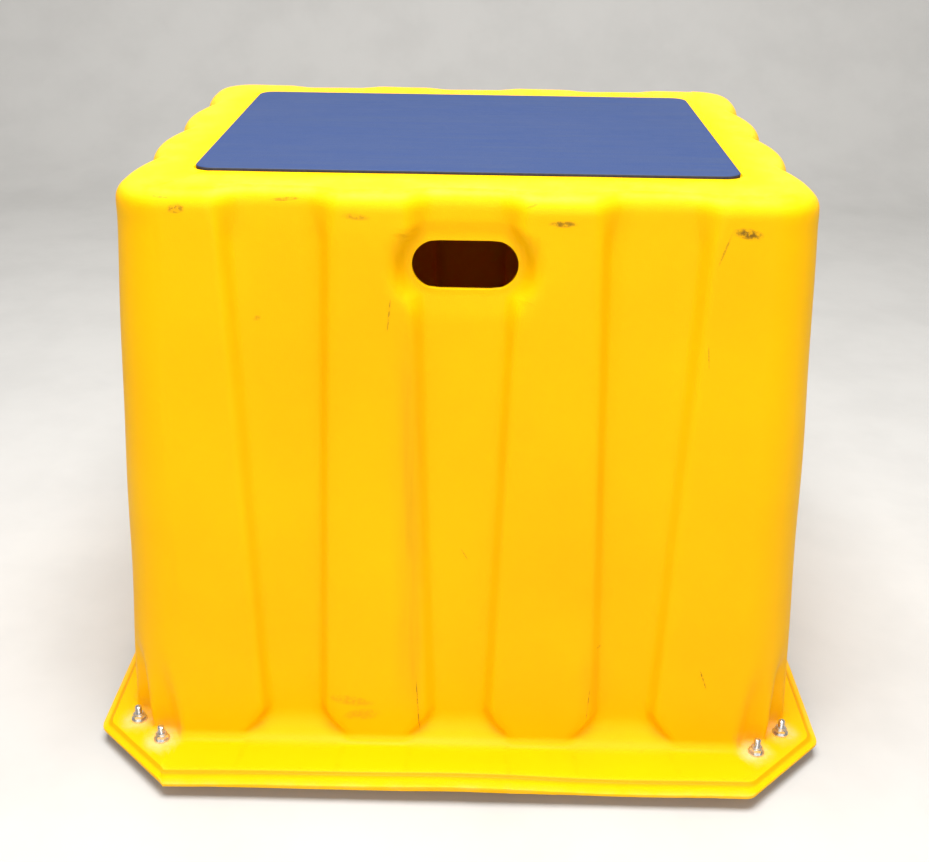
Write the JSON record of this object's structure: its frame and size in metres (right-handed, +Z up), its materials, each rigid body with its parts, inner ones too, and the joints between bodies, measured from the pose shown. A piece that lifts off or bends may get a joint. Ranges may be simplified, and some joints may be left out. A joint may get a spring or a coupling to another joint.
{
  "type": "platform box",
  "caption": "Free-standing moulded step and jump platform box with fluted walls, hand holes, a non-slip mat on its deck and rubber feet under its flange.",
  "frame": {"origin": "on the floor, in the middle of the footprint", "axes": "+Z up, +X to the right along the long side, -Y to the front"},
  "size_m": [0.645, 0.622, 0.508],
  "materials": {
    "shell_plastic": "moulded polyethylene with a soft satin sheen, scuffed on the rim and dusty in the flutes",
    "mat_rubber": "matt, finely ribbed",
    "adhesive_film": "matt",
    "board_plywood": "raw plywood",
    "screw_steel": "bright zinc plated",
    "foot_rubber": "matt moulded",
    "bolt_zinc": "bright zinc plated",
    "washer_zinc": "bright zinc plated",
    "nut_zinc": "bright zinc plated",
    "nut_nylon": "waxy"
  },
  "bodies": {
    "root": {"back_left_foot": "foot_rubber", "back_left_inboard_bolt": "bolt_zinc", "back_left_inboard_head_washer": "washer_zinc", "back_left_inboard_lock_nut": "nut_zinc", "back_left_inboard_nut_nylon_ring": "nut_nylon", "back_left_inboard_nut_washer": "washer_zinc", "back_left_outboard_bolt": "bolt_zinc", "back_left_outboard_head_washer": "washer_zinc", "back_left_outboard_lock_nut": "nut_zinc", "back_left_outboard_nut_nylon_ring": "nut_nylon", "back_left_outboard_nut_washer": "washer_zinc", "back_right_foot": "foot_rubber", "back_right_inboard_bolt": "bolt_zinc", "back_right_inboard_head_washer": "washer_zinc", "back_right_inboard_lock_nut": "nut_zinc", "back_right_inboard_nut_nylon_ring": "nut_nylon", "back_right_inboard_nut_washer": "washer_zinc", "back_right_outboard_bolt": "bolt_zinc", "back_right_outboard_head_washer": "washer_zinc", "back_right_outboard_lock_nut": "nut_zinc", "back_right_outboard_nut_nylon_ring": "nut_nylon", "back_right_outboard_nut_washer": "washer_zinc", "deck_board": "board_plywood", "deck_screw_back_left": "screw_steel", "deck_screw_back_middle": "screw_steel", "deck_screw_back_right": "screw_steel", "deck_screw_front_left": "screw_steel", "deck_screw_front_middle": "screw_steel", "deck_screw_front_right": "screw_steel", "deck_screw_middle_left": "screw_steel", "deck_screw_middle_right": "screw_steel", "front_left_foot": "foot_rubber", "front_left_inboard_bolt": "bolt_zinc", "front_left_inboard_head_washer": "washer_zinc", "front_left_inboard_lock_nut": "nut_zinc", "front_left_inboard_nut_nylon_ring": "nut_nylon", "front_left_inboard_nut_washer": "washer_zinc", "front_left_outboard_bolt": "bolt_zinc", "front_left_outboard_head_washer": "washer_zinc", "front_left_outboard_lock_nut": "nut_zinc", "front_left_outboard_nut_nylon_ring": "nut_nylon", "front_left_outboard_nut_washer": "washer_zinc", "front_right_foot": "foot_rubber", "front_right_inboard_bolt": "bolt_zinc", "front_right_inboard_head_washer": "washer_zinc", "front_right_inboard_lock_nut": "nut_zinc", "front_right_inboard_nut_nylon_ring": "nut_nylon", "front_right_inboard_nut_washer": "washer_zinc", "front_right_outboard_bolt": "bolt_zinc", "front_right_outboard_head_washer": "washer_zinc", "front_right_outboard_lock_nut": "nut_zinc", "front_right_outboard_nut_nylon_ring": "nut_nylon", "front_right_outboard_nut_washer": "washer_zinc", "mat_adhesive": "adhesive_film", "shell": "shell_plastic", "top_mat": "mat_rubber"}
  },
  "joints": []
}
